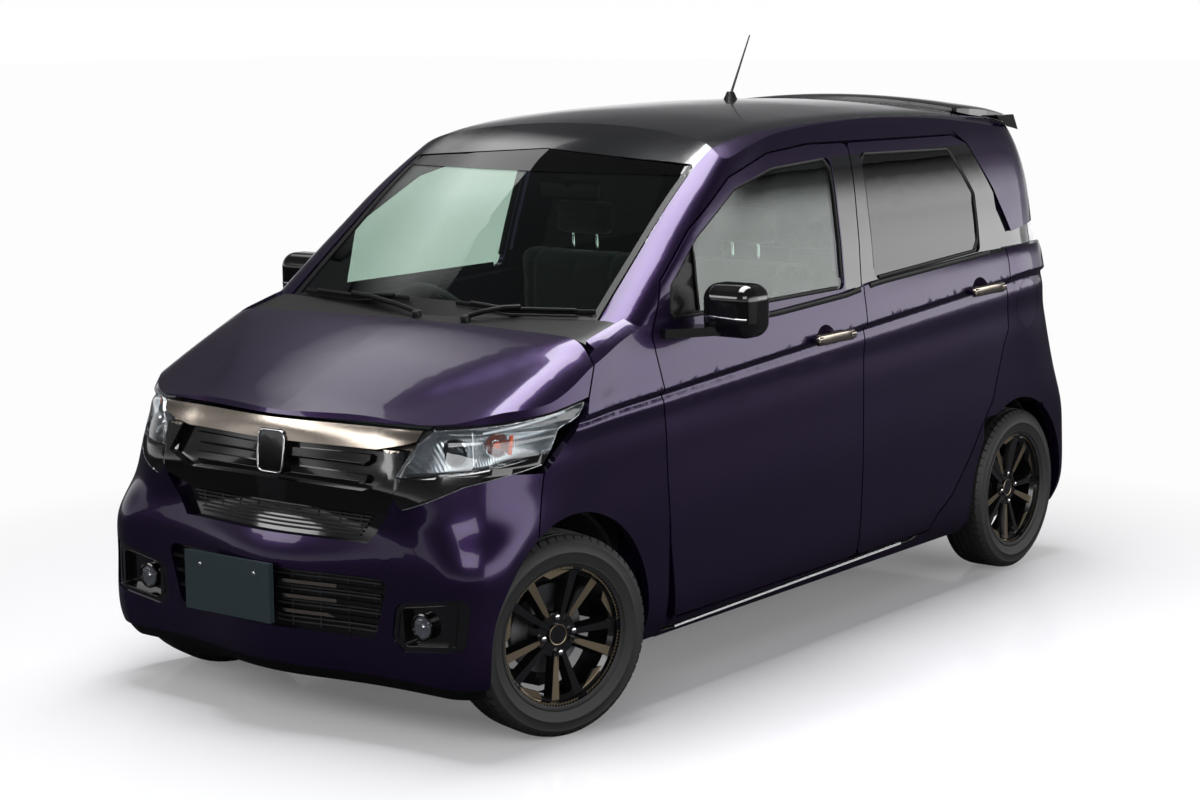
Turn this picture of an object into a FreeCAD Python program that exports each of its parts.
import FreeCAD, Part
import math
import os

Vector = FreeCAD.Vector

# Driving sizes of the whole car, in millimetres: x forward, y to the car's left, z up from the road
overall_length = 3395.0
overall_width = 1475.0
roof_height = 1655.0
wheelbase = 2520.0
front_overhang = 490.0
track = 1305.0

# Tyre and wheel sizes of a 165/55 R15 tyre on a 4.5 inch wide wheel
tyre_width = 165.0
tyre_radius = 281.0
rim_radius = 190.5
rim_width = 114.0
rim_flange = 13.0
rim_wall = 8.0
steer_angle = 16.1
hub_radius = 62.0
disc_radius = 116.0
spindle_radius = 14.0
spindle_clearance = 0.05
kingpin_radius = 12.0
kingpin_inset = 56.0

# Walls, seams and clearances
door_skin = 30.0
door_depth = 92.0
frame_depth = 104.0
pillar_depth = 46.0
door_frame_depth = 24.0
panel_wall = 22.0
bumper_wall = 34.0
roof_wall = 30.0
glass_wall = 4.5
glass_inset = 7.0
shut_gap = 6.0
seam = 0.3
rabbet_gap = 7.0
door_step = 44.0
arch_front_radius = 336.0
arch_rear_radius = 325.0
floor_height = 232.0
floor_wall = 26.0
load_floor_height = 470.0
outline_corner = 26.0

# Places that follow from the driving sizes
half_length = overall_length / 2
half_width = overall_width / 2
axle_front = half_length - front_overhang
axle_rear = axle_front - wheelbase
rear_overhang = overall_length - wheelbase - front_overhang
wheel_y = track / 2
kingpin_y = wheel_y - kingpin_inset
centre_lap = half_width * 0.14
overrun = overall_width

# Side outlines, each point as shares of the wheelbase behind the front axle and of the roof's height
front_line_share = ((0.187, 0.140), (0.173, 0.274), (0.169, 0.388), (0.168, 0.492), (0.163, 0.542),
                    (0.156, 0.606), (0.153, 0.641))
pillar_line_share = ((0.187, 0.724), (0.258, 0.806), (0.352, 0.885), (0.447, 0.921), (0.540, 0.931))
centre_line_share = ((0.631, 0.928), (0.597, 0.639), (0.590, 0.491), (0.585, 0.288), (0.581, 0.140))
rear_line_share = ((0.762, 0.140), (0.783, 0.172), (0.816, 0.201), (0.865, 0.274), (0.891, 0.323),
                   (0.924, 0.376), (0.957, 0.485), (0.971, 0.520), (0.966, 0.600), (0.970, 0.680),
                   (0.973, 0.800), (0.929, 0.905), (0.895, 0.924))
belt_line_share = ((0.150, 0.638), (0.400, 0.641), (0.561, 0.652), (0.632, 0.664), (0.923, 0.685),
                   (1.200, 0.689))
front_glass_share = ((0.188, 0.656), (0.200, 0.716), (0.265, 0.790), (0.360, 0.866), (0.450, 0.895),
                     (0.581, 0.904), (0.560, 0.659))
rear_glass_share = ((0.632, 0.665), (0.652, 0.906), (0.879, 0.899), (0.921, 0.804), (0.911, 0.686))
fender_share = ((-0.066, 0.338), (-0.048, 0.450), (-0.012, 0.490), (0.020, 0.528), (0.027, 0.557),
                (0.042, 0.604), (0.054, 0.648), (0.058, 0.700), (0.153, 0.700))
fender_foot_share = (0.160, 0.112)
bonnet_side_share = ((-0.180, 0.524), (-0.099, 0.532), (-0.032, 0.544), (0.027, 0.558), (0.042, 0.604),
                     (0.054, 0.648), (0.058, 0.700), (-0.180, 0.700))

# Body levels from the sill up: height at the nose, height at the tail, and how far the side is tucked in
lower_level_share = ((0.091, 0.091, 0.084), (0.118, 0.118, 0.046), (0.151, 0.151, 0.019),
                     (0.193, 0.193, 0.007), (0.254, 0.260, 0.003), (0.314, 0.329, 0.001),
                     (0.375, 0.399, 0.004), (0.423, 0.462, 0.008), (0.465, 0.520, 0.011),
                     (0.495, 0.568, 0.014), (0.512, 0.607, 0.016), (0.521, 0.625, 0.018),
                     (0.526, 0.630, 0.004), (0.534, 0.639, 0.003), (0.559, 0.662, 0.012),
                     (0.604, 0.683, 0.027), (0.701, 0.701, 0.058))
# Cabin levels: height, tuck of the side, windscreen's setback and rear window's reach
upper_level_share = ((0.628, 0.039), (0.665, 0.047), (0.701, 0.062), (0.743, 0.079), (0.785, 0.100),
                     (0.828, 0.121), (0.870, 0.146), (0.906, 0.172), (0.937, 0.200), (0.961, 0.233),
                     (0.982, 0.281), (0.997, 0.349))

# Nose and tail in profile, as height share against share of the overhang
nose_share = ((0.091, 0.86), (0.121, 0.925), (0.172, 0.943), (0.242, 0.951), (0.290, 0.943),
              (0.323, 0.920), (0.338, 0.880), (0.363, 0.853), (0.418, 0.841), (0.469, 0.829),
              (0.508, 0.812), (0.526, 0.792), (0.544, 0.765), (0.604, 0.673), (0.701, 0.570))
nose_drop_share = ((0.091, 0.12), (0.300, 0.12), (0.338, 0.08), (0.418, 0.02), (0.460, 0.045),
                   (0.493, 0.070), (0.530, 0.095), (0.701, 0.11))
nose_corner_share = ((0.091, 0.14), (0.121, 0.145), (0.172, 0.170), (0.242, 0.197), (0.302, 0.210),
                     (0.332, 0.231), (0.363, 0.312), (0.393, 0.393), (0.417, 0.434), (0.538, 0.447),
                     (0.701, 0.475))
tail_share = ((0.091, 0.91), (0.121, 0.96), (0.172, 1.0), (0.272, 1.0), (0.326, 0.987), (0.344, 0.956),
              (0.375, 0.940), (0.495, 0.925), (0.585, 0.904), (0.665, 0.888), (0.701, 0.878),
              (0.743, 0.862), (0.785, 0.842), (0.828, 0.810), (0.870, 0.766), (0.906, 0.714),
              (0.937, 0.649), (0.961, 0.571), (0.982, 0.468), (0.997, 0.338))
tail_corner_share = ((0.091, 0.060), (0.172, 0.060), (0.272, 0.081), (0.344, 0.104), (0.423, 0.176),
                     (0.497, 0.254), (0.585, 0.298), (0.701, 0.305), (0.785, 0.258), (0.870, 0.217),
                     (1.0, 0.203))
screen_share = ((0.628, 0.052), (0.654, 0.073), (0.701, 0.112), (0.743, 0.148), (0.785, 0.184),
                (0.828, 0.221), (0.870, 0.260), (0.906, 0.296), (0.937, 0.329), (0.961, 0.363),
                (0.982, 0.401), (0.997, 0.437))
nose_spread_share = 0.353
tail_drop_share = 0.033
screen_drop_share = 0.183
screen_spread_share = 0.814
pillar_corner_share = 0.102

# Roof and bonnet in profile, as share of the wheelbase behind the front axle against height share
roof_share = ((0.278, 0.915), (0.302, 0.9335), (0.329, 0.951), (0.349, 0.961), (0.397, 0.9765),
              (0.471, 0.990), (0.556, 0.9965), (0.647, 0.9994), (0.714, 1.0), (0.856, 0.9952),
              (0.952, 0.987), (1.040, 0.976), (1.091, 0.9655), (1.190, 0.938))
roof_camber_share = 0.0266
roof_edge_share = 0.018
bonnet_share = ((-0.190, 0.512), (-0.153, 0.5345), (-0.139, 0.5430), (-0.119, 0.555), (-0.079, 0.580),
                (-0.040, 0.604), (0.0, 0.627), (0.040, 0.648), (0.075, 0.6635), (0.119, 0.680),
                (0.170, 0.695))
bonnet_camber_share = ((-0.190, 0.036), (-0.099, 0.030), (0.0, 0.019), (0.062, 0.011), (0.170, 0.009))
bonnet_edge_share = 0.034
roof_half_width_share = 0.760
ridge_share = ((-0.110, 0.440), (-0.0848, 0.493), (-0.0617, 0.536), (-0.0312, 0.593), (-0.0007, 0.665),
               (0.028, 0.762), (0.057, 0.873), (0.090, 0.900))
ridge_foot_share = ((-0.110, 0.560), (-0.0673, 0.649), (-0.036, 0.764), (0.0085, 0.862), (0.067, 0.917),
                    (0.090, 0.930))
ridge_rise_share = ((-0.125, 0.0), (-0.085, 0.0035), (-0.030, 0.0058), (0.030, 0.0050), (0.067, 0.0015),
                    (0.090, 0.0))


def curve(table, t):
    """Value at t on the smooth curve through a table of (t, value) points."""
    if t <= table[0][0]:
        return table[0][1]
    if t >= table[-1][0]:
        return table[-1][1]
    k = 0
    while table[k + 1][0] < t:
        k += 1

    def slope(i):
        low = max(i - 1, 0)
        high = min(i + 1, len(table) - 1)
        return (table[high][1] - table[low][1]) / (table[high][0] - table[low][0])

    (t0, a), (t1, b) = table[k], table[k + 1]
    span = t1 - t0
    s = (t - t0) / span
    return ((2 * s**3 - 3 * s**2 + 1) * a + (s**3 - 2 * s**2 + s) * span * slope(k)
            + (3 * s**2 - 2 * s**3) * b + (s**3 - s**2) * span * slope(k + 1))


def along(share):
    """Length position of a share of the wheelbase behind the front axle."""
    return axle_front - share * wheelbase


def height(share):
    """Height of a share of the roof's height."""
    return share * roof_height


# Surfaces and the solids between them


def spacing(rows):
    """Parameters along a grid's rows, from the mean distance between neighbouring points."""
    steps = [sum((row[k + 1] - row[k]).Length for row in rows) for k in range(len(rows[0]) - 1)]
    total = sum(steps)
    return [sum(steps[:k]) / total for k in range(len(steps))] + [1.0]


def skin(rows):
    """Smooth surface through a grid of points."""
    along_rows = spacing(rows)
    between_rows = spacing([list(column) for column in zip(*rows)])

    def through(points, parameters):
        spline = Part.BSplineCurve()
        spline.interpolate(Points=list(points), Parameters=parameters)
        return spline

    lines = [through(row, along_rows) for row in rows]
    columns = [through(poles, between_rows) for poles in zip(*[line.getPoles() for line in lines])]
    poles = [list(row) for row in zip(*[column.getPoles() for column in columns])]
    surface = Part.BSplineSurface()
    surface.buildFromPolesMultsKnots(poles, columns[0].getMultiplicities(), lines[0].getMultiplicities(),
                                     columns[0].getKnots(), lines[0].getKnots(), False, False, 3, 3)
    return surface


def border(surface, side):
    """One of a surface's four border curves."""
    u0, u1, v0, v1 = surface.bounds()
    curves = {"u0": lambda: surface.uIso(u0), "u1": lambda: surface.uIso(u1),
              "v0": lambda: surface.vIso(v0), "v1": lambda: surface.vIso(v1)}
    return curves[side]().toShape()


def closed(faces):
    """Solid inside a set of faces."""
    shell = Part.makeCompound(faces)
    shell.sewShape()
    solid = Part.makeSolid(shell.Shells[0])
    if solid.Volume < 0:
        solid.reverse()
    return solid


def plate(outer_rows, inner_rows):
    """Solid between two grids of points."""
    outer = skin(outer_rows)
    inner = skin(inner_rows)
    faces = [outer.toShape(), inner.toShape()]
    for side in ("u0", "u1", "v0", "v1"):
        faces.append(Part.makeRuledSurface(border(outer, side), border(inner, side)))
    return closed(faces)


def plan_points(heights, nose, nose_drop, spread, nose_radius, tail, tail_drop, tail_radius, side):
    """Left half of one level's plan outline, from just past the nose's middle to just past the tail's."""
    front_steps = 6
    corner_steps = 6
    side_steps = 14
    low, high = heights

    def bow(y, drop, reach):
        return drop * (1 - math.exp(-(y / reach)**2))

    points = []
    reach = side - nose_radius
    for y in [-centre_lap] + [reach * i / front_steps for i in range(front_steps)]:
        points.append(Vector(nose - bow(y, nose_drop, spread), y, low))
    for i in range(corner_steps):
        turn = math.pi / 2 * i / corner_steps
        y = reach + nose_radius * math.sin(turn)
        x = nose - bow(y, nose_drop, spread) - nose_radius * (1 - math.cos(turn))
        points.append(Vector(x, y, low))
    x_start = nose - bow(side, nose_drop, spread) - nose_radius
    x_end = tail + bow(side, tail_drop, half_width) + tail_radius
    for i in range(side_steps):
        s = i / side_steps
        points.append(Vector(x_start + (x_end - x_start) * s, side, low + (high - low) * s))
    reach = side - tail_radius
    for i in range(corner_steps):
        turn = math.pi / 2 * (1 - i / corner_steps)
        y = reach + tail_radius * math.sin(turn)
        x = tail + bow(y, tail_drop, half_width) + tail_radius * (1 - math.cos(turn))
        points.append(Vector(x, y, high))
    for y in [reach * (1 - i / front_steps) for i in range(front_steps + 1)] + [-centre_lap]:
        points.append(Vector(tail + bow(y, tail_drop, half_width), y, high))
    return points


def lower_rows(wall):
    """Grid of the body below the belt, drawn inwards by a wall."""
    rows = []
    least = panel_wall / 2
    for front, rear, tuck in lower_level_share:
        nose_radius = max(curve(nose_corner_share, front) * half_width - wall, least)
        tail_radius = max(curve(tail_corner_share, rear) * half_width - wall, least)
        rows.append(plan_points((height(front), height(rear)),
                                axle_front + curve(nose_share, front) * front_overhang - wall,
                                curve(nose_drop_share, front) * front_overhang,
                                nose_spread_share * half_width, nose_radius,
                                axle_rear - curve(tail_share, rear) * rear_overhang + wall,
                                tail_drop_share * rear_overhang, tail_radius,
                                half_width * (1 - tuck) - wall))
    return rows


def upper_rows(wall):
    """Grid of the cabin above the belt, drawn inwards by a wall."""
    rows = []
    least = panel_wall / 2
    for level, tuck in upper_level_share:
        rows.append(plan_points((height(level), height(level)),
                                along(curve(screen_share, level)) - wall,
                                screen_drop_share * half_width,
                                screen_spread_share * half_width,
                                max(pillar_corner_share * half_width - wall, least),
                                axle_rear - curve(tail_share, level) * rear_overhang + wall,
                                tail_drop_share * rear_overhang,
                                max(curve(tail_corner_share, level) * half_width - wall, least),
                                half_width * (1 - tuck) - wall))
    return rows


def half_solid(rows):
    """Solid left half of a body grid, closed past the middle plane."""
    surface = skin(rows)
    nose = border(surface, "v0")
    tail = border(surface, "v1")
    bottom = border(surface, "u0")
    top = border(surface, "u1")
    base = Part.LineSegment(rows[0][0], rows[0][-1]).toShape()
    lid = Part.LineSegment(rows[-1][0], rows[-1][-1]).toShape()
    faces = [surface.toShape(), Part.Face(Part.Wire(Part.__sortEdges__([bottom, base]))),
             Part.Face(Part.Wire(Part.__sortEdges__([top, lid]))),
             Part.makeRuledSurface(nose, tail)]
    return closed(faces)


sheet_width_share = (-0.085, 0.0, 0.15, 0.28, 0.39, 0.47, 0.54, 0.61, 0.68, 0.75, 0.82, 0.88, 0.94, 1.03)


def sheet_rows(profile, fall, x_range, lower_by, x_steps=18):
    """Grid of a cambered top panel over its length and the left half of its width."""
    rows = []
    for i in range(x_steps + 1):
        share = x_range[0] + (x_range[1] - x_range[0]) * i / x_steps
        row = []
        for across in sheet_width_share:
            level = curve(profile, share) - fall(share, abs(across))
            row.append(Vector(along(share), half_width * across, height(level) - lower_by))
        rows.append(row)
    return rows


def camber_fall(camber, edge, edge_start, across):
    """How far a cambered panel lies below its middle line."""
    past = max(across - edge_start, 0)
    return camber * (across / roof_half_width_share)**2 + edge * (past / 0.1)**2


def bonnet_fall(share, across):
    """The bonnet's camber, less the rise of its middle field inside the side ridges."""
    top = curve(ridge_share, share)
    foot = curve(ridge_foot_share, share)
    s = min(max((across - top) / (foot - top), 0), 1)
    rise = curve(ridge_rise_share, share) * (1 - s * s * (3 - 2 * s))
    return camber_fall(curve(bonnet_camber_share, share) * 0.66, bonnet_edge_share * 0.45, 0.84, across) - rise


def bonnet_rows(lower_by):
    return sheet_rows(bonnet_share, bonnet_fall, (-0.190, 0.170), lower_by, 24)


def roof_fall(share, across):
    return camber_fall(roof_camber_share, roof_edge_share * 0.55, 0.68, across)


def roof_rows(lower_by):
    return sheet_rows(roof_share, roof_fall, (0.278, 1.190), lower_by)


def flat_rows(rows, z):
    """The same grid pressed flat at one height."""
    return [[Vector(p.x, p.y, z) for p in row] for row in rows]


# Outlines and the prisms cut from them


def rounded_face(points, corner):
    """Flat face inside a closed outline whose corners are rounded."""
    count = len(points)
    straight = math.radians(174)
    ends = []
    for i, point in enumerate(points):
        before = points[i - 1] - point
        after = points[(i + 1) % count] - point
        angle = before.getAngle(after)
        if corner == 0 or angle > straight:
            ends.append((point, None, point))
            continue
        reach = min(corner / math.tan(angle / 2), before.Length * 0.45, after.Length * 0.45)
        radius = reach * math.tan(angle / 2)
        a = point + before.normalize() * reach
        b = point + after.normalize() * reach
        inward = ((a + b) * 0.5 - point).normalize()
        ends.append((a, point + inward * (radius / math.sin(angle / 2) - radius), b))
    edges = []
    for i, (a, middle, b) in enumerate(ends):
        if middle:
            edges.append(Part.Arc(a, middle, b).toShape())
        edges.append(Part.LineSegment(b, ends[(i + 1) % count][0]).toShape())
    return Part.Face(Part.Wire(edges))


def grown(face, amount):
    """Face whose outline is moved outwards, or inwards where the amount is negative."""
    if amount == 0:
        return face
    return Part.Face(face.OuterWire.makeOffset2D(amount))


def side_prism(shares, amount=0.0, corner=outline_corner, y_range=(half_width * 0.5, half_width * 1.2)):
    """Prism across the car's left side from an outline seen from the side."""
    face = rounded_face([Vector(along(x), 0, height(z)) for x, z in shares], corner)
    face = grown(face, amount)
    face.translate(Vector(0, y_range[0], 0))
    return face.extrude(Vector(0, y_range[1] - y_range[0], 0))


def front_prism(shares, x_range, amount=0.0, corner=outline_corner):
    """Prism along the car from an outline seen from the front: shares of half the width and of the height."""
    face = rounded_face([Vector(0, y * half_width, height(z)) for y, z in shares], corner)
    face = grown(face, amount)
    face.translate(Vector(x_range[0], 0, 0))
    return face.extrude(Vector(x_range[1] - x_range[0], 0, 0))


def top_prism(shares, z_range, amount=0.0, corner=outline_corner):
    """Prism upwards from an outline seen from above: shares behind the front axle and of half the width."""
    face = rounded_face([Vector(along(x), y * half_width, 0) for x, y in shares], corner)
    face = grown(face, amount)
    face.translate(Vector(0, 0, z_range[0]))
    return face.extrude(Vector(0, 0, z_range[1] - z_range[0]))


def box(x_range, y_range, z_range):
    """Box between pairs of limits."""
    return Part.makeBox(x_range[1] - x_range[0], y_range[1] - y_range[0], z_range[1] - z_range[0],
                        Vector(x_range[0], y_range[0], z_range[0]))


def mirrored(shape):
    """The same piece on the car's other side."""
    return shape.mirror(Vector(0, 0, 0), Vector(0, 1, 0))


def both(half):
    """A piece across the middle, from its left half."""
    return half.fuse(mirrored(half)).removeSplitter()


def save(name, shape):
    """Write one sub-part."""
    solids = shape.Solids
    shape = solids[0] if len(solids) == 1 else Part.makeCompound(solids)
    shape.exportStep("parts/" + name + ".step")
    print(name, len(solids), shape.isValid())


# Body panels


shells_made = {}


def shell_between(rows, outer, inner):
    """Shell of a body grid between two depths, made once."""
    key = (rows.__name__, outer, inner)
    if key not in shells_made:
        shells_made[key] = plate(rows(outer), rows(inner))
    return shells_made[key]


def lower_shell(outer, inner):
    """The body below the belt between two depths."""
    return shell_between(lower_rows, outer, inner)


def upper_shell(outer, inner):
    """The cabin above the belt between two depths."""
    return shell_between(upper_rows, outer, inner)


def below_belt():
    """Region below the belt line on the car's side."""
    shares = belt_line_share + ((1.200, 0.0), (-0.300, 0.0), (-0.300, 0.638))
    return side_prism(shares, corner=0)


def above_belt():
    """Region above the belt line on the car's side."""
    shares = belt_line_share + ((1.200, 1.100), (0.0, 1.100), (0.0, 0.638))
    return side_prism(shares, corner=0)


def arch(centre_x, radius):
    """Cylinder that opens a wheel's arch in the car's left side."""
    return Part.makeCylinder(radius, half_width, Vector(centre_x, half_width * 0.5, tyre_radius),
                             Vector(0, 1, 0))


front_door_share = front_line_share + pillar_line_share + centre_line_share
rear_door_share = tuple(reversed(centre_line_share)) + tuple(reversed(rear_line_share))
doors_share = front_line_share + pillar_line_share + tuple(reversed(rear_line_share))


front_handle_share = (0.506, 0.578)
rear_handle_share = (0.891, 0.612)
handle_length = 218.0
handle_height = 23.0
handle_rise = 33.0
handle_wall = 20.0
cup_radius = 58.0
cup_depth = 13.0
cup_offset = 21.0


def handle(place_share):
    """Door handle: a rounded bar on two feet."""
    x = along(place_share[0])
    z = height(place_share[1])
    half = handle_length / 2
    tall = handle_height / 2
    shape = soft_block((x - half, x + half), (half_width + handle_rise - handle_wall, half_width + handle_rise),
                       (z - tall, z + tall), handle_wall * 0.36)
    for side in (-1, 1):
        foot_x = x + side * (half - tall)
        foot = box((foot_x - tall * 0.7, foot_x + tall * 0.7),
                   (half_width - door_skin * 0.5, half_width + handle_rise - handle_wall / 2),
                   (z - tall * 0.7, z + tall * 0.7))
        shape = shape.fuse(foot)
    return shape


def cup(place_share):
    """Round hollow behind a door handle."""
    ball = (cup_radius**2 + cup_depth**2) / (2 * cup_depth)
    centre = Vector(along(place_share[0]) + cup_offset, half_width + ball - cup_depth, height(place_share[1]))
    return Part.makeSphere(ball, centre)


def door(shares, glass_share, arch_cut, handle_share):
    """Left door: outer skin, deeper inner box below the belt, thin window frame, handle and its cup."""
    outline = side_prism(shares, -shut_gap / 2)
    inner_outline = side_prism(shares, -door_step)
    lower = below_belt()
    skin_part = lower_shell(0.0, door_skin).common(outline).common(lower)
    box_part = lower_shell(door_skin * 0.6, door_depth).common(inner_outline).common(lower)
    frame = upper_shell(0.0, door_frame_depth).common(outline).common(above_belt())
    shape = skin_part.cut(cup(handle_share)).fuse(box_part).fuse(frame)
    return shape.cut(side_prism(glass_share)).cut(arch_cut).fuse(handle(handle_share))


def door_glass(glass_share):
    """Left door's window glass."""
    return upper_shell(glass_inset, glass_inset + glass_wall).common(side_prism(glass_share))


windscreen_share = ((-0.5, 0.651), (0.815, 0.651), (0.743, 0.9085), (0.0, 0.9305), (-0.5, 0.9305))
tailgate_share = ((-0.5, 0.350), (0.800, 0.350), (0.815, 0.480), (0.815, 0.760), (0.780, 0.860),
                  (0.720, 0.990), (-0.5, 0.990))
tailgate_glass_share = ((-0.5, 0.690), (0.690, 0.690), (0.660, 0.860), (0.600, 0.915), (-0.5, 0.925))
tail_lamp_share = ((0.820, 0.470), (0.940, 0.470), (0.915, 0.640), (0.880, 0.800), (0.820, 0.810))
roof_front_share = 0.292
roof_rear_share = 0.957
roof_plan_share = ((0.200, -0.5), (0.200, 0.745), (0.957, 0.745), (0.957, -0.5))


def tail_range():
    """Lengths between which the tail's own panels lie."""
    return (-half_length - overrun, along(roof_rear_share))


def lamp_range():
    """Lengths between which the tail lamps lie."""
    return (-half_length - overrun, axle_rear - rear_overhang * 0.35)


def screen_range():
    """Lengths between which the windscreen lies."""
    return (along(0.45), along(-0.2))


garnish_share = ((0.900, 0.935), (0.929, 0.9045), (0.9746, 0.8085), (1.0036, 0.717), (1.0746, 0.7305),
                 (1.240, 0.7305), (1.240, 0.6885), (0.960, 0.6860), (0.950, 0.800))
garnish_depth = 12.0
skirt_groove_share = ((0.165, 0.121), (0.165, 0.128), (0.700, 0.140), (0.745, 0.140), (0.720, 0.131),
                      (0.200, 0.118))
skirt_groove_depth = 7.0
fuel_lid_share = (1.0242, 0.5637)
fuel_lid_width = 160.0
fuel_lid_height = 172.0


def fuel_lid_groove():
    """Oval shut line of the fuel filler's lid on the left rear quarter."""
    x = along(fuel_lid_share[0])
    z = height(fuel_lid_share[1])
    ovals = []
    for inset in (0.0, groove_width):
        line = Part.Ellipse(Vector(x, half_width / 2, z + fuel_lid_height / 2 - inset),
                            Vector(x + fuel_lid_width / 2 - inset, half_width / 2, z),
                            Vector(x, half_width / 2, z))
        ovals.append(Part.Face(Part.Wire(line.toShape())).extrude(Vector(0, half_width, 0)))
    return lower_shell(0.0, groove_width * 2).common(ovals[0].cut(ovals[1]))


def above_belt_wide():
    """Region above the belt line, reaching in over the windscreen's pillar."""
    shares = belt_line_share + ((1.200, 1.100), (0.0, 1.100), (0.0, 0.638))
    return side_prism(shares, corner=0, y_range=(half_width * 0.3, overall_width))


door_pad_share = ((0.1755, 0.1805), (0.5930, 0.5990))
door_pad_height_share = ((0.300, 0.330), (0.500, 0.530))


def door_pads():
    """Pads on the front and centre pillars that the doors' front edges lie on."""
    pads = []
    for x_shares in door_pad_share:
        for z_shares in door_pad_height_share:
            pads.append(box((along(x_shares[1]), along(x_shares[0])), (half_width * 0.5, half_width),
                            (height(z_shares[0]), height(z_shares[1]))))
    return lower_shell(door_skin + seam * 2, frame_depth).common(Part.makeCompound(pads))


def side_frame(upper_trim, tailgate_cut, roof_cut, lamp_cut):
    """Left side of the body: sill, pillars, roof rail and rear quarter, with rabbets for the doors."""
    rear_arch = arch(axle_rear, arch_rear_radius)
    lower_face = ((0.128, 0.112), (0.128, 0.625), (1.200, 0.720), (1.200, 0.343), (0.900, 0.343),
                  (0.900, 0.112))
    shell = lower_shell(0.0, frame_depth).common(side_prism(lower_face, corner=0)).common(below_belt())
    rabbet_share = (fender_foot_share,) + front_line_share[:-1] + ((0.153, 0.720), (-0.300, 0.720),
                                                                   (-0.300, 0.080), (0.160, 0.080))
    rabbet = lower_shell(-panel_wall, door_skin + rabbet_gap)
    shell = shell.cut(rabbet.common(side_prism(doors_share, shut_gap / 2)))
    shell = shell.cut(rabbet.common(side_prism(rabbet_share, seam, corner=0)))
    shell = shell.cut(rear_arch)
    cabin_face = ((0.080, 0.600), (0.080, 1.050), (1.200, 1.050), (1.200, 0.600))
    cabin = upper_shell(0.0, pillar_depth)
    cabin = cabin.cut(front_prism(windscreen_share, screen_range(), seam))
    cabin = cabin.common(side_prism(cabin_face, corner=0, y_range=(half_width * 0.3, overall_width)))
    cabin = cabin.common(above_belt_wide())
    frame_rabbet = upper_shell(-panel_wall, door_frame_depth + rabbet_gap)
    frame_rabbet = frame_rabbet.common(side_prism(doors_share, shut_gap / 2))
    cabin = cabin.cut(frame_rabbet)
    shell = shell.cut(frame_rabbet).fuse(door_pads())
    for shares in (front_glass_share, rear_glass_share):
        cabin = cabin.cut(side_prism(shares, rabbet_gap))
    below_glass = box((-half_length, half_length), (0.0, overall_width), (0.0, height(0.690)))
    for shares in (front_door_share, rear_door_share):
        opening = side_prism(shares, rabbet_gap - door_step)
        shell = shell.cut(opening)
        cabin = cabin.cut(opening.common(below_glass))
    cabin = cabin.common(upper_trim)
    garnish = upper_shell(-panel_wall, garnish_depth)
    cabin = cabin.cut(garnish.common(side_prism(garnish_share, corner=0,
                                                y_range=(half_width * 0.3, overall_width))))
    groove = lower_shell(-panel_wall, skirt_groove_depth)
    shell = shell.cut(groove.common(side_prism(skirt_groove_share, corner=0)))
    shape = shell.fuse(cabin)
    for cutter in (tailgate_cut, roof_cut, lamp_cut):
        shape = shape.cut(cutter)
    return shape


# Front end

beam_x = axle_front + front_overhang * 0.68
rail_y = half_width * 0.440
rail_height_share = (0.235, 0.275)
bumper_seat_share = (0.290, 0.325)
bumper_foot_share = (0.450, 0.550)
bonnet_plan_share = ((-0.250, -0.5), (-0.250, 1.100), (0.0575, 1.100), (0.0560, 0.920), (0.0520, 0.600),
                     (0.0490, 0.250), (0.0480, -0.5))
cowl_plan_share = ((0.0510, -0.5), (0.0520, 0.250), (0.0550, 0.600), (0.0585, 0.895), (0.1700, 0.895),
                   (0.1700, -0.5))
fender_top_share = ((0.0600, 1.100), (0.0586, 0.922), (0.0584, 0.897), (0.1500, 0.897), (0.1510, 1.100))
header_face_share = ((-0.5, 0.9308), (0.0, 0.9308), (0.743, 0.9088), (0.790, 0.9600), (0.790, 1.050),
                     (-0.5, 1.050))
bumper_side_share = ((-0.300, 0.119), (-0.300, 0.478), (-0.049, 0.450), (-0.067, 0.338), (-0.067, 0.119))
grille_face_share = ((-0.5, 0.337), (0.470, 0.337), (0.545, 0.378), (0.590, 0.412), (0.600, 0.452),
                     (0.640, 0.490), (0.662, 0.523), (-0.5, 0.523))
grille_bar_share = ((-0.5, 0.487), (0.483, 0.489), (0.600, 0.500), (0.700, 0.512), (0.700, 0.530),
                    (-0.5, 0.530))
upper_slat_share = ((-0.5, 0.463), (0.420, 0.461), (0.452, 0.470), (0.452, 0.478), (-0.5, 0.475))
lower_slat_share = ((-0.5, 0.437), (0.440, 0.432), (0.452, 0.439), (0.452, 0.446), (-0.5, 0.449))
grille_frame_share = ((-0.5, 0.388), (0.426, 0.384), (0.560, 0.404), (0.610, 0.404), (0.610, 0.490),
                      (0.520, 0.490), (0.569, 0.4435), (0.449, 0.4222), (-0.5, 0.4237))
badge_share = ((-0.068, 0.430), (0.068, 0.430), (0.072, 0.506), (-0.072, 0.506))
badge_rise = 5.0
lower_grille_share = ((-0.5, 0.185), (0.505, 0.181), (0.574, 0.283), (-0.5, 0.281))
fog_share = ((0.582, 0.188), (0.600, 0.238), (0.626, 0.248), (0.923, 0.271), (0.908, 0.185), (0.634, 0.169))
fog_inner_share = ((0.640, 0.180), (0.846, 0.191), (0.846, 0.253), (0.633, 0.240))
fog_lamp_share = (0.715, 0.213)
fog_lamp_radius = 36.0
lamp_share = ((0.191, 0.524), (0.461, 0.533), (0.756, 0.557), (0.723, 0.534), (0.638, 0.515),
              (0.609, 0.486), (0.575, 0.4645), (0.287, 0.4386), (0.066, 0.3985), (0.032, 0.4156),
              (0.045, 0.450), (0.131, 0.503))
lip_share = (0.098, 0.1185)
tow_cap_share = (0.561, 0.3066)
tow_cap_radius = 17.0
groove_width = 1.6
corner_angle = 45.0


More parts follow.
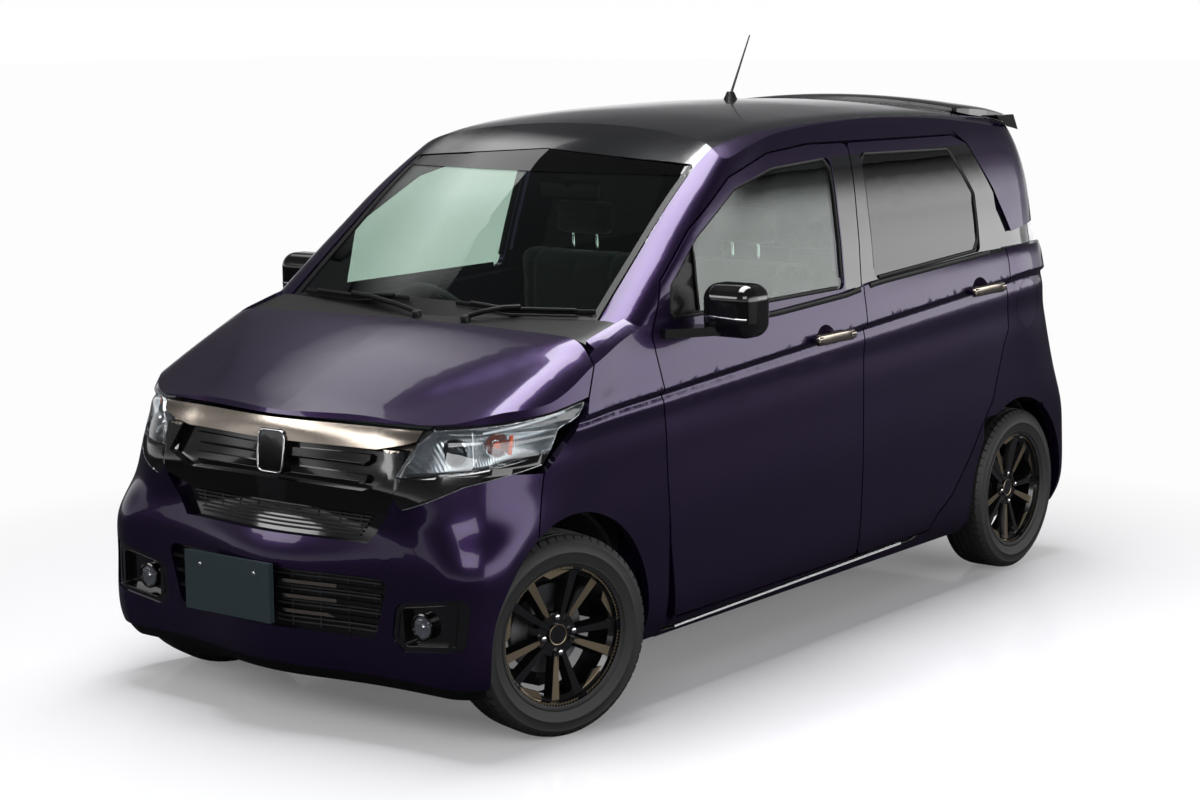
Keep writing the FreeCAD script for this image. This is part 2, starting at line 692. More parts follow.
def corner_prism(shares, amount=0.0):
    """Prism through the nose's left corner from an outline seen square to it."""
    face = rounded_face([Vector(0, w * half_width, height(z)) for w, z in shares], outline_corner * 0.3)
    face = grown(face, amount)
    face.translate(Vector(-half_width * 0.6, 0, 0))
    prism = face.extrude(Vector(overall_width, 0, 0))
    prism.rotate(Vector(0, 0, 0), Vector(0, 0, 1), corner_angle)
    prism.translate(Vector(axle_front, 0, 0))
    return prism


def nose_range():
    """Lengths between which the nose's own panels lie."""
    return (axle_front + front_overhang * 0.15, half_length + overrun)


def nose_shell(outer, inner):
    """The left half of the nose between two depths, up to the bonnet's surface."""
    key = ("nose", outer, inner)
    if key not in shells_made:
        region = box((along(0.2), half_length + overrun), (0.0, half_width * 1.1), (0.0, height(0.75)))
        shells_made[key] = lower_shell(outer, inner).common(region).common(under_bonnet)
    return shells_made[key]


def bonnet_region(amount):
    """Region that the bonnet takes up, seen from the side."""
    return side_prism(bonnet_side_share, amount, corner=0, y_range=(-shut_gap, half_width * 1.2))


def bonnet():
    """Bonnet: ridged top panel and its turned-down front and sides."""
    side = nose_shell(0.0, panel_wall)
    region = bonnet_region(-shut_gap / 2)
    side = side.common(region)
    top = plate(bonnet_rows(0.0), bonnet_rows(panel_wall)).common(lower_body)
    plan = top_prism(bonnet_plan_share, (0.0, height(1.0)), corner=0)
    top = top.common(plan).common(region).common(box((along(0.3), half_length), (0.0, half_width),
                                                     (0.0, height(0.8))))
    return both(side.fuse(top))


bonnet_pad_share = ((0.040, 0.028), (0.562, 0.575))


def fender():
    """Left front wing with the pad that the bonnet's side lies on."""
    shares = fender_share + tuple(reversed(front_line_share)) + (fender_foot_share, (-0.066, 0.112))
    outline = side_prism(shares, -shut_gap / 2, corner=0)
    side = nose_shell(0.0, panel_wall).common(outline)
    top = plate(bonnet_rows(0.0), bonnet_rows(panel_wall)).common(lower_body)
    top = top.common(top_prism(fender_top_share, (0.0, height(1.0)), corner=0))
    shape = side.fuse(top).cut(half_solid(upper_rows(-seam)))
    pad = box([along(share) for share in bonnet_pad_share[0]], (0.0, half_width),
              [height(share) for share in bonnet_pad_share[1]])
    pad = nose_shell(panel_wall * 0.3, panel_wall).common(pad).cut(bonnet_region(seam - shut_gap / 2))
    shape = shape.fuse(pad)
    return shape.cut(arch(axle_front, arch_front_radius)).cut(corner_prism(lamp_share, seam))


def front_bumper():
    """Front bumper with its openings, the tow eye's cap and two feet on the front beam."""
    region = side_prism(bumper_side_share, corner=0, y_range=(0.0, half_width * 1.2))
    shape = nose_shell(0.0, bumper_wall).common(region)
    foot_x = beam_x + floor_wall + seam
    foot = box((foot_x, foot_x + bumper_wall), [share * half_width for share in bumper_foot_share],
               [height(share) for share in bumper_seat_share])
    shape = shape.fuse(foot).cut(arch(axle_front, arch_front_radius))
    shape = shape.cut(corner_prism(lamp_share, seam))
    shape = shape.cut(front_prism(grille_face_share, nose_range(), seam, corner=0))
    for shares in (lower_grille_share, fog_share):
        shape = shape.cut(front_prism(shares, nose_range(), seam))
    cap_y, cap_z = tow_cap_share
    start = Vector(axle_front, cap_y * half_width, height(cap_z))
    ring = Part.makeCylinder(tow_cap_radius, overall_width, start, Vector(1, 0, 0))
    ring = ring.cut(Part.makeCylinder(tow_cap_radius - groove_width, overall_width, start, Vector(1, 0, 0)))
    return both(shape).cut(nose_shell(0.0, groove_width).common(ring))


def headlamp():
    shape = nose_shell(0.0, bumper_wall * 2).common(corner_prism(lamp_share))
    return shape.cut(bonnet_region(shut_gap / 2))


def bands(levels):
    """Flat slabs across the nose at pairs of heights."""
    slabs = [box(nose_range(), (0.0, half_width), (height(low), height(high))) for low, high in levels]
    return Part.makeCompound(slabs)


slat_depth_share = 0.35
recess_share = 0.8


def grille():
    """Backing, top bar, two slats, lower frame and blank badge of the upper air opening."""
    face = front_prism(grille_face_share, nose_range(), corner=0)
    shape = nose_shell(bumper_wall * recess_share, bumper_wall).common(face)
    front = nose_shell(0.0, bumper_wall).common(face)
    for shares in (grille_bar_share, grille_frame_share):
        shape = shape.fuse(front.common(front_prism(shares, nose_range(), corner=0)))
    slats = nose_shell(bumper_wall * slat_depth_share, bumper_wall)
    for shares in (upper_slat_share, lower_slat_share):
        shape = shape.fuse(slats.common(front_prism(shares, nose_range(), corner=0)))
    badge = nose_shell(-badge_rise, bumper_wall).common(front_prism(badge_share, nose_range()))
    shape = shape.fuse(badge.common(box(nose_range(), (0.0, half_width), (0.0, roof_height))))
    return both(shape.cut(corner_prism(lamp_share, seam)).cut(bonnet_region(shut_gap / 2)))


board_width = 330.0
board_height = 165.0
board_wall = 16.0
board_offset = 105.0
board_low_share = 0.190
board_hole_spacing = 210.0
board_hole_radius = 3.5
board_hole_share = 0.80


def number_board():
    """Blank board to the right of the middle, with a plate's two bolt holes and its bracket."""
    low = height(board_low_share)
    middle = -board_offset
    shape = box((half_length - board_wall, half_length),
                (middle - board_width / 2, middle + board_width / 2), (low, low + board_height))
    bracket = box((half_length - front_overhang * 0.09, half_length - board_wall / 2),
                  (middle - board_width / 4, middle + board_width / 4),
                  (low + board_height * 0.2, low + board_height * 0.6))
    shape = shape.fuse(bracket)
    for side in (-1, 1):
        start = Vector(half_length - board_wall * 1.5, side * board_hole_spacing / 2 + middle,
                       low + board_height * board_hole_share)
        shape = shape.cut(Part.makeCylinder(board_hole_radius, board_wall * 2, start, Vector(1, 0, 0)))
    return shape


lower_slat_low_share = (0.208, 0.233, 0.258)
lower_slat_wall_share = 0.006
carrier_top_share = 0.232


def lower_grille():
    """Lower opening's slats, fog lamp bezels and lip on one carrier behind the bumper, and the board."""
    face = front_prism(lower_grille_share, nose_range())
    back = bumper_wall * 1.3
    left = box(nose_range(), (0.0, half_width), (0.0, roof_height))
    shape = nose_shell(bumper_wall * recess_share, back).common(face)
    slats = bands([(low, low + lower_slat_wall_share) for low in lower_slat_low_share])
    shape = shape.fuse(nose_shell(bumper_wall * 0.2, bumper_wall).common(face).common(slats))
    fog_face = front_prism(fog_share, nose_range())
    bezel = nose_shell(bumper_wall * 0.12, back).common(fog_face)
    hollow = nose_shell(-bumper_wall, bumper_wall * recess_share)
    bezel = bezel.cut(hollow.common(front_prism(fog_inner_share, nose_range(), corner=outline_corner * 0.5)))
    lamp_y, lamp_z = fog_lamp_share
    lens = Part.makeCylinder(fog_lamp_radius, overall_width,
                             Vector(axle_front, lamp_y * half_width, height(lamp_z)), Vector(1, 0, 0))
    bezel = bezel.fuse(nose_shell(bumper_wall * 0.45, back).common(lens))
    carrier = nose_shell(bumper_wall + seam, back).common(bands(((lip_share[0], carrier_top_share),)))
    carrier = carrier.common(box(nose_range(), (0.0, half_width * 0.75), (0.0, roof_height)))
    lip = nose_shell(bumper_wall * 0.25, back).common(bands((lip_share,)))
    lip = lip.cut(arch(axle_front, arch_front_radius))
    return both(shape.fuse(bezel).fuse(carrier).fuse(lip).common(left)).fuse(number_board())


def cowl():
    shape = plate(bonnet_rows(panel_wall * 0.5), bonnet_rows(panel_wall * 1.2))
    shape = shape.common(top_prism(cowl_plan_share, (0.0, height(1.0)), corner=0))
    shape = shape.common(box((along(0.3), half_length), (0.0, half_width), (0.0, height(0.8))))
    return both(shape.cut(half_solid(upper_rows(-seam))))


def windscreen():
    shape = upper_shell(glass_inset, glass_inset + glass_wall).common(
        front_prism(windscreen_share, screen_range()))
    return both(shape.common(box(screen_range(), (0.0, half_width), (0.0, roof_height))))


# Roof and tail


crown_share = (0.450, 0.960)
hinge_lug_share = ((0.400, 0.440), (0.9625, 0.9695))


def roof_sheet():
    """Left half of the roof's top sheet over the whole cabin."""
    crown = box((along(crown_share[1]), along(crown_share[0])), (0.0, half_width * 0.600),
                (height(0.975), height(1.1)))
    return plate(roof_rows(0.0), roof_rows(roof_wall)).common(upper_body.fuse(crown))


def roof_panel():
    """Roof with the header over the windscreen and the tailgate's hinge lugs."""
    plan = top_prism(roof_plan_share, (height(0.85), height(1.1)))
    left = box((axle_rear - rear_overhang, axle_front), (0.0, half_width), (0.0, roof_height * 1.1))
    shape = roof_sheet().common(plan).common(left)
    header = upper_shell(0.0, pillar_depth).common(under_roof).common(plan).common(left)
    header = header.common(front_prism(header_face_share, screen_range(), corner=0))
    rear_x = along(roof_rear_share)
    lug = box((rear_x - shut_gap + seam, rear_x + shut_gap), [share * half_width for share in hinge_lug_share[0]],
              [height(share) for share in hinge_lug_share[1]])
    shape = shape.fuse(header).fuse(lug)
    return both(shape.cut(front_prism(windscreen_share, screen_range(), seam)))


def tailgate():
    """Tailgate with its window cut, from the bumper up to the roof panel's rear edge."""
    joint = height(0.665)
    region = front_prism(tailgate_share, tail_range(), -shut_gap / 2)
    behind = box((-half_length - overrun, along(roof_rear_share) - shut_gap), (0.0, half_width),
                 (0.0, roof_height * 1.1))
    low = lower_shell(0.0, pillar_depth).common(region)
    low = low.common(box((-half_length - overrun, axle_rear), (0.0, half_width), (0.0, joint)))
    high = upper_shell(0.0, door_frame_depth).common(region).common(behind).common(under_roof)
    high = high.common(box((-half_length - overrun, axle_front), (0.0, half_width), (joint, roof_height * 1.1)))
    top = roof_sheet().common(region).common(behind)
    return both(low.fuse(high).fuse(top).cut(front_prism(tailgate_glass_share, tail_range())))


spoiler_lift_share = ((0.965, 0.009), (0.985, 0.0155), (1.040, 0.0175), (1.086, 0.0160))
spoiler_plan_share = ((0.966, -0.5), (0.966, 0.700), (0.985, 0.732), (1.030, 0.742), (1.060, 0.765),
                      (1.083, 0.790), (1.085, -0.5))
spoiler_foot_share = 0.660
fin_front_share = ((0.750, 0.955), (0.788, 0.955), (0.819, 0.916), (0.861, 0.857), (0.828, 0.857),
                   (0.788, 0.916))
fin_side_share = ((1.035, 0.970), (1.084, 0.970), (1.084, 0.916), (1.068, 0.856), (1.050, 0.856))
spoiler_gap = 6.0


def spoiler():
    """Roof spoiler on the tailgate, with a fin down each side of the rear window."""
    def lifted(share, across):
        return roof_fall(share, across) - curve(spoiler_lift_share, share)

    reach = (0.965, 1.090)
    top = sheet_rows(roof_share, lifted, reach, 0.0, 8)
    wing = plate(top, sheet_rows(roof_share, roof_fall, reach, -spoiler_gap, 8))
    foot = plate(sheet_rows(roof_share, roof_fall, reach, -spoiler_gap * 1.2, 8),
                 sheet_rows(roof_share, roof_fall, reach, -seam, 8))
    foot = foot.common(box((along(1.040), along(0.970)), (0.0, half_width * spoiler_foot_share),
                           (0.0, roof_height * 1.1)))
    wing = wing.common(top_prism(spoiler_plan_share, (0.0, roof_height * 1.1)))
    fin = front_prism(fin_front_share, (along(1.090), along(1.030)), corner=0)
    fin = fin.common(side_prism(fin_side_share)).cut(half_solid(upper_rows(-spoiler_gap)))
    fin = fin.cut(plate(sheet_rows(roof_share, roof_fall, reach, -spoiler_gap, 8),
                        flat_rows(sheet_rows(roof_share, roof_fall, reach, 0.0, 8), height(0.93))))
    left = box((-half_length, half_length), (0.0, half_width), (0.0, roof_height * 1.1))
    return both(wing.fuse(foot).common(left).fuse(fin))


def tailgate_glass():
    shape = upper_shell(glass_inset, glass_inset + glass_wall)
    shape = shape.common(front_prism(tailgate_glass_share, tail_range()))
    return both(shape.common(box(tail_range(), (0.0, half_width), (0.0, roof_height))))


def tail_lamp():
    face = front_prism(tail_lamp_share, lamp_range())
    joint = height(0.665)
    low = lower_shell(0.0, pillar_depth).common(face).common(box(lamp_range(), (0.0, half_width), (0.0, joint)))
    high = upper_shell(0.0, pillar_depth).common(face)
    high = high.common(box(lamp_range(), (0.0, half_width), (joint, roof_height)))
    return low.fuse(high)


def rear_bumper():
    shares = ((1.070, 0.112), (1.070, 0.343), (1.400, 0.343), (1.400, 0.112))
    region = side_prism(shares, -seam, corner=0, y_range=(0.0, half_width * 1.2))
    shape = lower_shell(0.0, bumper_wall).common(region)
    return both(shape.cut(arch(axle_rear, arch_rear_radius)))


# Floor and running gear


firewall_share = 0.128
kick_share = 0.780


def floor_pan():
    """Floor, firewall, load floor, wheel tubs, side members and what is bolted under them."""
    inside = half_solid(lower_rows(frame_depth + seam))
    left = box((-half_length, half_length), (0.0, half_width), (0.0, roof_height))
    firewall_x = along(firewall_share)
    kick_x = along(kick_share)
    shape = box((kick_x, firewall_x), (0.0, half_width), (floor_height, floor_height + floor_wall))
    load_top = load_floor_height + floor_wall
    shape = shape.fuse(box((kick_x - floor_wall, kick_x), (0.0, half_width), (floor_height, load_top)))
    shape = shape.fuse(box((-half_length, kick_x), (0.0, half_width), (load_floor_height, load_top)))
    shape = shape.fuse(box((firewall_x - floor_wall, firewall_x), (0.0, half_width),
                           (floor_height, height(0.630))))
    shape = shape.common(inside).common(left)
    tub_inner = half_width * 0.720
    for centre, radius in ((axle_rear, arch_rear_radius), (axle_front, arch_front_radius)):
        inner = tub_inner if centre == axle_rear else half_width * 0.550
        tub = Part.makeCylinder(radius + floor_wall / 2, half_width * 0.95 - inner,
                                Vector(centre, inner, tyre_radius), Vector(0, 1, 0))
        tub = tub.common(inside).common(box((-half_length, half_length), (0.0, half_width),
                                            (tyre_radius * 1.2, roof_height)))
        hollow = Part.makeCylinder(radius, half_width, Vector(centre, inner + floor_wall / 2, tyre_radius),
                                   Vector(0, 1, 0))
        shape = shape.fuse(tub).cut(hollow)
    rail = box((firewall_x - floor_wall, beam_x), (rail_y, rail_y + floor_wall * 2),
               (height(rail_height_share[0]), height(rail_height_share[1])))
    beam = box((beam_x, beam_x + floor_wall), (0.0, half_width * 0.62),
               (height(rail_height_share[0]), height(bumper_seat_share[1])))
    for piece in (rail, beam, strut(), front_suspension(), fuel_tank(), silencer()):
        shape = shape.fuse(piece)
    return both(shape)


def engine_block():
    """Engine and gearbox as one plain block between the side members."""
    side = rail_y - seam
    return box((along(0.110), axle_front + front_overhang * 0.35), (-side, side), (height(0.125), height(0.470)))


def both_apart(half):
    """A pair of pieces, one on each side."""
    return Part.makeCompound([half, mirrored(half)])


suspension_bar = 40.0


arm_wall = 20.0
arm_reach_share = 0.72


def front_suspension():
    """Left half of the cross member, and the lower arm that carries a front knuckle from below."""
    low = tyre_radius - rim_radius * arm_reach_share
    shape = box((axle_front - suspension_bar * 1.5, axle_front + suspension_bar), (0.0, half_width * 0.50),
                (low - suspension_bar, low))
    arm = box((axle_front - suspension_bar / 2, axle_front + suspension_bar / 2),
              (half_width * 0.45, kingpin_y + suspension_bar / 2), (low - arm_wall, low))
    leg = box((axle_front - suspension_bar * 1.5, axle_front + suspension_bar),
              (rail_y, rail_y + floor_wall * 2), (low - suspension_bar, height(rail_height_share[1])))
    return shape.fuse(arm).fuse(leg)


tank_depth = 62.0
silencer_radius = 78.0


def fuel_tank():
    """Left half of the flat fuel tank under the seats."""
    tank = soft_block((along(0.740), along(0.480)), (-half_width * 0.45, half_width * 0.45),
                      (floor_height - tank_depth, floor_height + floor_wall / 2), floor_wall / 3)
    return tank.common(box((-half_length, half_length), (0.0, half_width), (0.0, roof_height)))


def silencer():
    """Left half of the exhaust silencer under the load floor."""
    return Part.makeCylinder(silencer_radius, half_width * 0.36,
                             Vector(axle_rear - rear_overhang * 0.60, 0, load_floor_height - silencer_radius * 0.97),
                             Vector(0, 1, 0))


def strut():
    """Left strut leg with its bracket over the knuckle."""
    high = tyre_radius + rim_radius * arm_reach_share
    leg_y = half_width * 0.690
    bracket = box((axle_front - suspension_bar / 2, axle_front + suspension_bar / 2),
                  (leg_y - suspension_bar / 2, kingpin_y + suspension_bar / 2), (high, high + suspension_bar / 2))
    leg = Part.makeCylinder(suspension_bar / 2, height(0.38) - high, Vector(axle_front, leg_y, high))
    return bracket.fuse(leg)


def knuckle():
    """Left knuckle: upright between the kingpin's ends, brake caliper and spindle."""
    low = tyre_radius - rim_radius * arm_reach_share + seam
    high = tyre_radius + rim_radius * arm_reach_share - seam
    post = suspension_bar / 2
    shape = box((axle_front - post, axle_front + post), (kingpin_y - post, kingpin_y + post), (low, high))
    spindle = Part.makeCylinder(spindle_radius, wheel_y + rim_width * 0.25 - kingpin_y,
                                Vector(axle_front, kingpin_y, tyre_radius), Vector(0, 1, 0))
    return shape.fuse(spindle).fuse(caliper())


caliper_angle = 70.0
caliper_gap = 5.0
caliper_start = -35.0
disc_wall = 18.0
disc_offset = 24.0


def caliper():
    """Brake caliper astride the disc's front edge, with its bracket."""
    inner = wheel_y - disc_offset - disc_wall / 2 - caliper_gap
    outer = wheel_y - disc_offset + disc_wall / 2 + caliper_gap
    cheek = disc_wall * 0.7
    base = Vector(axle_front, inner - cheek, tyre_radius)
    block = Part.makeCylinder(disc_radius * 1.17, outer - inner + cheek * 2, base, Vector(0, 1, 0), caliper_angle)
    block = block.cut(Part.makeCylinder(disc_radius * 0.72, overall_width, base, Vector(0, 1, 0)))
    block = block.cut(Part.makeCylinder(disc_radius + caliper_gap, outer - inner,
                                        Vector(axle_front, inner, tyre_radius), Vector(0, 1, 0)))
    block.rotate(Vector(axle_front, 0, tyre_radius), Vector(0, 1, 0), caliper_start)
    bracket = box((axle_front, axle_front + disc_radius * 0.85),
                  (inner - cheek, inner - cheek / 4),
                  (tyre_radius - suspension_bar / 2, tyre_radius + suspension_bar / 2))
    bridge = box((axle_front, axle_front + suspension_bar / 2), (kingpin_y, inner - cheek / 4),
                 (tyre_radius - suspension_bar / 2, tyre_radius + suspension_bar / 2))
    return block.fuse(bracket).fuse(bridge)


axle_tube = 30.0


def rear_axle():
    """Twist beam: cross tube, two trailing arms and their spindles."""
    arm_y = half_width * 0.600
    tube = axle_tube
    pivot_x = axle_rear + wheelbase * 0.150
    beam = Part.makeCylinder(tube, arm_y, Vector(axle_rear + wheelbase * 0.060, 0, tyre_radius), Vector(0, 1, 0))
    arm = box((axle_rear - tube, pivot_x), (arm_y - tube, arm_y), (tyre_radius - tube, tyre_radius + tube))
    pivot = box((pivot_x - tube * 2, pivot_x), (arm_y - tube, arm_y), (tyre_radius - tube, load_floor_height - seam))
    spindle = Part.makeCylinder(spindle_radius, wheel_y + rim_width * 0.25 - arm_y + tube,
                                Vector(axle_rear, arm_y - tube, tyre_radius), Vector(0, 1, 0))
    return both(beam.fuse(arm).fuse(pivot).fuse(spindle))


def turned(profile):
    """Solid turned about the wheel's axle from (width, radius) points."""
    points = [Vector(0, y, r) for y, r in profile]
    face = Part.Face(Part.makePolygon(points + points[:1]))
    return face.revolve(Vector(0, 0, 0), Vector(0, 1, 0), 360)


bead_rise = 22.0
bulge_rise = 45.0
shoulder_drop = 24.0
tread_edge_drop = 5.0
tyre_flats = 60


def tyre():
    """Tyre about the origin, its width along y, with narrow flats around it that keep it light."""
    half = tyre_width / 2
    bead = rim_width / 2 - seam
    seat = rim_radius + seam * 2
    left = ((bead, seat), (bead, rim_radius + rim_flange / 2 + seam * 2), (half * 0.93, rim_radius + bead_rise),
            (half, rim_radius + bulge_rise), (half * 0.95, tyre_radius - shoulder_drop),
            (half * 0.78, tyre_radius - tread_edge_drop), (half * 0.5, tyre_radius))
    profile = left + tuple((-y, radius) for y, radius in reversed(left))
    faces = []
    for k in range(tyre_flats):
        start, end = [math.radians(360.0 * turn / tyre_flats) for turn in (k, k + 1)]
        for i, (y0, radius0) in enumerate(profile):
            y1, radius1 = profile[(i + 1) % len(profile)]
            corners = [Vector(radius * math.cos(turn), y, radius * math.sin(turn))
                       for y, radius, turn in ((y0, radius0, start), (y1, radius1, start), (y1, radius1, end),
                                               (y0, radius0, end))]
            faces.append(Part.Face(Part.makePolygon(corners + corners[:1])))
    return closed(faces)


spoke_pairs = 5
spoke_turns = (16.5, 41.0)
spoke_face_width = (13.0, 25.0)
spoke_back_width = (30.0, 46.0)
spoke_face_y = (40.0, 49.0)
spoke_back_y = (16.0, 24.0)
facet_face_y = 48.5
facet_wall = 16.0
facet_share = ((0.984, -19.0), (0.990, -10.0), (0.990, -2.0), (0.988, 7.0), (0.972, 15.0), (0.850, -10.0))


def spoke():
    """One wheel spoke up from the hub, with a narrow face and sloping sides."""
    ends = []
    radii = (hub_radius * 0.7, rim_radius - rim_wall)
    sections = zip(radii, spoke_face_width, spoke_back_width, spoke_face_y, spoke_back_y)
    for radius, face, back, face_y, back_y in sections:
        corners = [Vector(x, y, radius) for x, y in ((-back / 2, back_y), (back / 2, back_y), (face / 2, face_y),
                                                     (-face / 2, face_y), (-back / 2, back_y))]
        ends.append(Part.makePolygon(corners))
    return Part.makeLoft(ends, True, True)


def facet():
    """Flat wedge of the wheel's face in a wide gap between two spokes."""
    points = []
    for share, turn in facet_share:
        angle = math.radians(turn)
        points.append(Vector(-rim_radius * share * math.sin(angle), facet_face_y - facet_wall,
                             rim_radius * share * math.cos(angle)))
    face = Part.Face(Part.makePolygon(points + points[:1]))
    return face.extrude(Vector(0, facet_wall, 0))


def rim():
    """Left wheel about the origin: barrel, hub, disc and five pairs of spokes; its outside faces +y."""
    half = rim_width / 2
    flange = rim_radius + rim_flange * 0.5
    inside = rim_radius - rim_wall
    edge = half + rim_wall * 0.7
    barrel = turned(((-edge, flange), (-edge, inside), (half * 0.7, inside - rim_wall * 1.4),
                     (half * 0.9, inside), (edge, inside + rim_wall * 0.4),
                     (edge, flange), (half, flange), (half, rim_radius), (half * 0.5, inside + rim_wall * 0.2),
                     (-half * 0.8, inside + rim_wall * 0.4), (-half, rim_radius), (-half, flange)))
    disc_y = -disc_offset - disc_wall / 2
    hub = Part.makeCylinder(hub_radius, spoke_face_y[0] - disc_y - rim_wall / 2, Vector(0, disc_y, 0), Vector(0, 1, 0))
    cap = Part.makeCylinder(hub_radius * 0.48, spoke_face_y[0] - disc_y + rim_wall / 4, Vector(0, disc_y, 0),
                            Vector(0, 1, 0))
    shape = barrel.fuse(hub).fuse(cap)
    for k in range(spoke_pairs):
        pieces = [(facet(), 0.0)] + [(spoke(), turn) for turn in spoke_turns]
        for piece, turn in pieces:
            piece.rotate(Vector(0, 0, 0), Vector(0, 1, 0), -turn - 360.0 * k / spoke_pairs)
            shape = shape.fuse(piece)
    disc = Part.makeCylinder(disc_radius, disc_wall, Vector(0, disc_y, 0), Vector(0, 1, 0))
    bore = Part.makeCylinder(spindle_radius + spindle_clearance, rim_width * 0.25 - disc_y + seam,
                             Vector(0, disc_y, 0), Vector(0, 1, 0))
    return shape.fuse(disc).cut(bore)


def placed(piece, axle_x, side, steered):
    """A left wheel piece set on its axle, on either side and turned with the steering."""
    shape = piece.copy()
    shape.translate(Vector(axle_x, wheel_y, tyre_radius))
    if side < 0:
        shape = mirrored(shape)
    if steered:
        shape.rotate(Vector(axle_x, side * kingpin_y, 0), Vector(0, 0, 1), -steer_angle)
    return shape


# Cabin and outside fittings


dash_line_share = ((0.160, 0.635), (0.215, 0.632), (0.250, 0.600), (0.252, 0.560), (0.225, 0.500),
                   (0.205, 0.400))
steering_tilt = 66.0
steering_x_share = 0.272
steering_z_share = 0.575
steering_y_share = 0.470
steering_radius = 185.0
steering_rim = 15.0
steering_hub_radius = 61.0
steering_ratio = 15.0
column_radius = 24.0
column_length = 150.0


def on_column(shape):
    """A piece made about the z axis, set on the tilted steering column of the right-hand seat."""
    shape.rotate(Vector(0, 0, 0), Vector(0, 1, 0), -steering_tilt)
    shape.translate(Vector(along(steering_x_share), -steering_y_share * half_width, height(steering_z_share)))
    return shape


def dashboard():
    """Dashboard behind the firewall, with the steering column's bore."""
    front = firewall_share + (floor_wall + seam) / wheelbase
    shares = ((front, 0.400), (front, 0.600)) + dash_line_share
    region = side_prism(shares, y_range=(0.0, half_width))
    shape = both(region.common(half_solid(lower_rows(door_depth + rabbet_gap * 2))))
    bore = Part.makeCylinder(column_radius + seam, column_length * 2, Vector(0, 0, -column_length - seam))
    return shape.cut(on_column(bore))


def steering_wheel():
    """Steering wheel: rim, three spokes and hub on its column."""
    shape = Part.makeTorus(steering_radius - steering_rim, steering_rim)
    hub = Part.makeCylinder(steering_hub_radius, steering_rim * 2, Vector(0, 0, -steering_rim * 2))
    column = Part.makeCylinder(column_radius, column_length, Vector(0, 0, -column_length))
    shape = shape.fuse(hub).fuse(column)
    for turn in (0.0, 180.0, 270.0):
        spoke = box((0.0, steering_radius - steering_rim), (-steering_rim, steering_rim),
                    (-steering_rim * 1.2, -steering_rim * 0.2))
        spoke.rotate(Vector(0, 0, 0), Vector(0, 0, 1), turn - steer_angle * steering_ratio)
        shape = shape.fuse(spoke)
    return on_column(shape)


def soft_block(x_range, y_range, z_range, corner):
    """Box with all its edges rounded."""
    shape = box(x_range, y_range, z_range)
    return shape.makeFillet(corner, shape.Edges)


seat_corner = 30.0
headrest_width = 250.0


def front_seat():
    """Left front seat: cushion, back and headrest as one plain solid."""
    low = floor_height + floor_wall + seam
    y_range = (half_width * 0.080, half_width * 0.800)
    cushion = soft_block((along(0.550), along(0.345)), y_range, (low, height(0.370)), seat_corner)
    back = soft_block((along(0.590), along(0.530)), y_range, (height(0.250), height(0.720)), seat_corner)
    middle = (y_range[0] + y_range[1]) / 2
    rest = soft_block((along(0.582), along(0.545)), (middle - headrest_width / 2, middle + headrest_width / 2),
                      (height(0.700), height(0.810)), seat_corner)
    return cushion.fuse(back).fuse(rest)


def rear_seat():
    """Rear bench: cushion and back as one plain solid."""
    y_range = (-half_width * 0.690, half_width * 0.690)
    low = load_floor_height + floor_wall + seam
    cushion = soft_block((along(0.980), along(0.800)), y_range, (low, height(0.390)), seat_corner)
    back = soft_block((along(1.010), along(0.955)), y_range, (low, height(0.680)), seat_corner)
    return cushion.fuse(back)


mirror_x_share = (0.2715, 0.2206)
mirror_y_share = (1.010, 1.254)
mirror_z_share = (0.626, 0.719)
mirror_corner = 46.0
mirror_arm_wall = 26.0


def door_mirror():
    """Left door mirror: arm from the door's front corner and a rounded housing."""
    housing = soft_block([along(share) for share in mirror_x_share],
                         [share * half_width for share in mirror_y_share],
                         [height(share) for share in mirror_z_share], mirror_corner)
    points = [Vector(along(x), y * half_width, height(mirror_z_share[0]) + mirror_arm_wall / 4)
              for x, y in ((0.170, 0.945), (0.170, 0.985), (0.228, 1.100), (0.262, 1.080), (0.225, 0.960))]
    arm = Part.Face(Part.makePolygon(points + points[:1])).extrude(Vector(0, 0, mirror_arm_wall))
    return housing.fuse(arm).cut(half_solid(lower_rows(-seam)))


antenna_foot_radius = 24.0
antenna_foot_height = 26.0
antenna_mast_radius = 4.5
antenna_x_share = (0.718, 0.764)
antenna_tip_share = 1.129


def antenna():
    """Roof antenna: cone foot and a mast that leans back."""
    base = Vector(along(antenna_x_share[0]), 0, height(curve(roof_share, antenna_x_share[0])) + seam)
    start = base + Vector(0, 0, antenna_foot_height / 2)
    lean = Vector(along(antenna_x_share[1]), 0, height(antenna_tip_share)) - start
    mast = Part.makeCone(antenna_mast_radius, antenna_mast_radius / 2, lean.Length, start, lean)
    foot = Part.makeCone(antenna_foot_radius, antenna_foot_radius / 2, antenna_foot_height, base, Vector(0, 0, 1))
    return mast.fuse(foot)


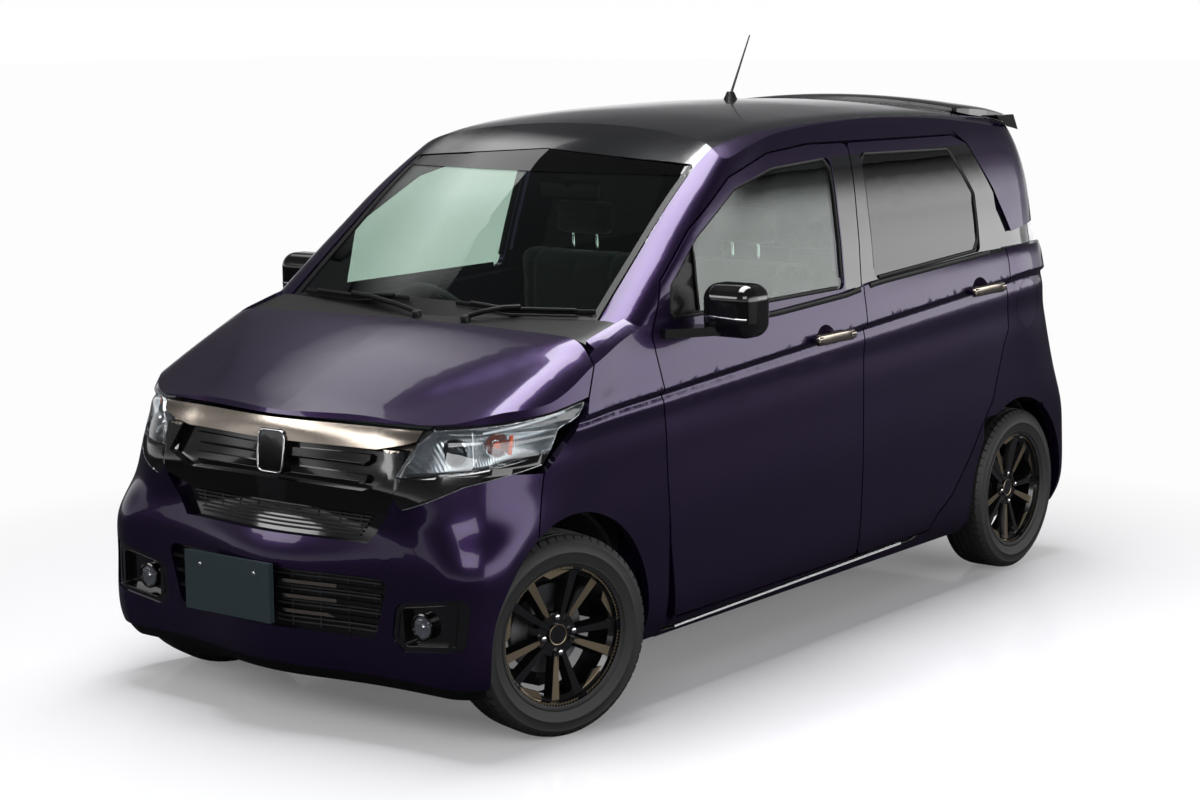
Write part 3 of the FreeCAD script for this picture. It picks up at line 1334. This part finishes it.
os.makedirs("parts", exist_ok=True)
lower_body = half_solid(lower_rows(0.0))
upper_body = half_solid(upper_rows(0.0))
under_bonnet = plate(bonnet_rows(0.0), flat_rows(bonnet_rows(0.0), 0.0))
under_roof = plate(roof_rows(0.0), flat_rows(roof_rows(0.0), height(0.5)))
pillar_region = box((along(0.280), half_length), (0.0, half_width * 1.03), (height(0.5), height(0.915)))
under_roof = under_roof.fuse(pillar_region)

tailgate_cut = front_prism(tailgate_share, tail_range(), shut_gap / 2)
roof_cut = top_prism(roof_plan_share, (height(0.85), height(1.1)), seam)
lamp_cut = front_prism(tail_lamp_share, lamp_range(), seam)

pairs = {
    "door_front": lambda: door(front_door_share, front_glass_share, arch(axle_front, arch_front_radius),
                               front_handle_share),
    "door_rear": lambda: door(rear_door_share, rear_glass_share, arch(axle_rear, arch_rear_radius + shut_gap),
                              rear_handle_share),
    "glass_front": lambda: door_glass(front_glass_share),
    "glass_rear": lambda: door_glass(rear_glass_share),
    "side_frame": lambda: side_frame(under_roof, tailgate_cut, roof_cut, lamp_cut),
    "fender": fender,
    "headlamp": headlamp,
    "tail_lamp": tail_lamp,
    "seat_front": front_seat,
    "mirror": door_mirror,
}
middles = {
    "bonnet": bonnet,
    "front_bumper": front_bumper,
    "grille": grille,
    "lower_grille": lower_grille,
    "cowl": cowl,
    "windscreen": windscreen,
    "roof_panel": roof_panel,
    "tailgate": tailgate,
    "tailgate_glass": tailgate_glass,
    "spoiler": spoiler,
    "rear_bumper": rear_bumper,
    "floor_pan": floor_pan,
    "engine_block": engine_block,
    "rear_axle": rear_axle,
    "dashboard": dashboard,
    "steering_wheel": steering_wheel,
    "seat_rear": rear_seat,
    "antenna": antenna,
}
for name, maker in pairs.items():
    shape = maker()
    save(name + "_right", mirrored(shape))
    if name == "side_frame":
        shape = shape.cut(fuel_lid_groove())
    save(name + "_left", shape)
for name, maker in middles.items():
    save(name, maker())
wheel_pieces = {"tyre": tyre(), "rim": rim()}
for side, side_name in ((1, "left"), (-1, "right")):
    for name, piece in wheel_pieces.items():
        save(name + "_front_" + side_name, placed(piece, axle_front, side, True))
        save(name + "_rear_" + side_name, placed(piece, axle_rear, side, False))
    hub = knuckle()
    if side < 0:
        hub = mirrored(hub)
    hub.rotate(Vector(axle_front, side * kingpin_y, 0), Vector(0, 0, 1), -steer_angle)
    save("knuckle_" + side_name, hub)
